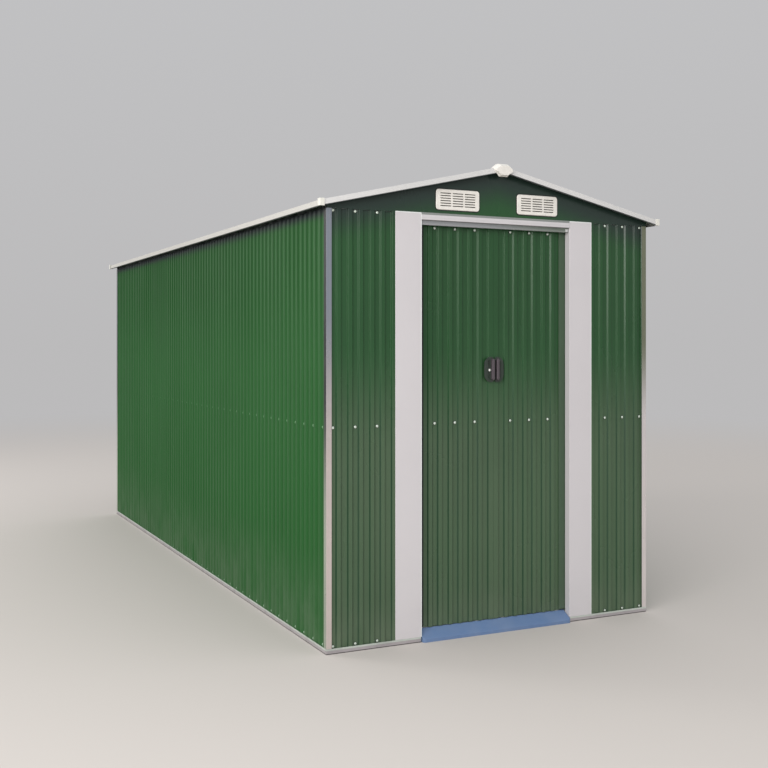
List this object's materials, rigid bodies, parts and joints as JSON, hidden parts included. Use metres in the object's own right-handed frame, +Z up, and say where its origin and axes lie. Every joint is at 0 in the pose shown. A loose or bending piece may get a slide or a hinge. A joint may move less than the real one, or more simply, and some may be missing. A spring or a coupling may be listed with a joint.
{
  "type": "metal storage shed",
  "caption": "Metal storage shed with ribbed sheet walls, a shallow gable roof, slotted gable vents and sliding door leaves in a framed doorway.",
  "frame": {"origin": "on the ground, under the centre of the shed's overall outline", "axes": "+X to the right across the doorway front, +Y from the doorway front to the back, +Z up"},
  "size_m": [1.902, 4.424, 2.241],
  "materials": {
    "green_sheet": "semi-gloss stove enamel on ribbed steel sheet",
    "roof_sheet": "semi-gloss stove enamel on ribbed steel sheet",
    "roof_trim": "white enamelled steel trim",
    "white_metal": "light grey-white enamelled steel",
    "galvanised": "galvanised steel",
    "corner_metal": "light grey enamelled steel angle",
    "stile_metal": "dark grey-green enamelled steel",
    "blue_sill": "blue enamelled steel",
    "ivory_plastic": "ivory moulded plastic",
    "handle_plastic": "dark brown-grey moulded plastic",
    "slider_plastic": "pale nylon"
  },
  "bodies": {
    "shell": {"back_beam": "galvanised", "base_frame_back": "galvanised", "base_frame_front": "galvanised", "base_frame_left": "galvanised", "base_frame_right": "galvanised", "corner_back_left": "corner_metal", "corner_back_right": "corner_metal", "corner_front_left": "corner_metal", "corner_front_right": "corner_metal", "door_header": "white_metal", "door_post_left": "white_metal", "door_post_right": "white_metal", "door_sill": "blue_sill", "eave_trims": "roof_trim", "floor_track": "galvanised", "front_beam": "galvanised", "front_panel_left": "green_sheet", "front_panel_right": "green_sheet", "gable_back": "green_sheet", "gable_front": "green_sheet", "mid_rail_back": "galvanised", "mid_rail_left": "galvanised", "mid_rail_right": "galvanised", "mid_rails_front": "galvanised", "purlins": "galvanised", "rake_trims_back": "roof_trim", "rake_trims_front": "roof_trim", "ridge_beam": "galvanised", "ridge_cap": "roof_trim", "ridge_end_caps": "ivory_plastic", "roof_corner_caps": "ivory_plastic", "roof_left": "roof_sheet", "roof_right": "roof_sheet", "top_rail_left": "galvanised", "top_rail_right": "galvanised", "top_track": "galvanised", "vents_back": "ivory_plastic", "vents_front": "ivory_plastic", "wall_back": "green_sheet", "wall_left": "green_sheet", "wall_right": "green_sheet"},
    "door_left": {"door_left_frame": "stile_metal", "door_left_handle": "handle_plastic", "door_left_sheet": "green_sheet", "door_left_sliders": "slider_plastic"},
    "door_right": {"door_right_frame": "stile_metal", "door_right_handle": "handle_plastic", "door_right_sheet": "green_sheet", "door_right_sliders": "slider_plastic"}
  },
  "joints": [
    {"name": "door_left_slide", "type": "slide", "parent": "shell", "child": "door_left", "axis": [-1, 0, 0], "range_m": [0, 0.359]},
    {"name": "door_right_slide", "type": "slide", "parent": "shell", "child": "door_right", "axis": [1, 0, 0], "range_m": [0, 0.359]}
  ]
}
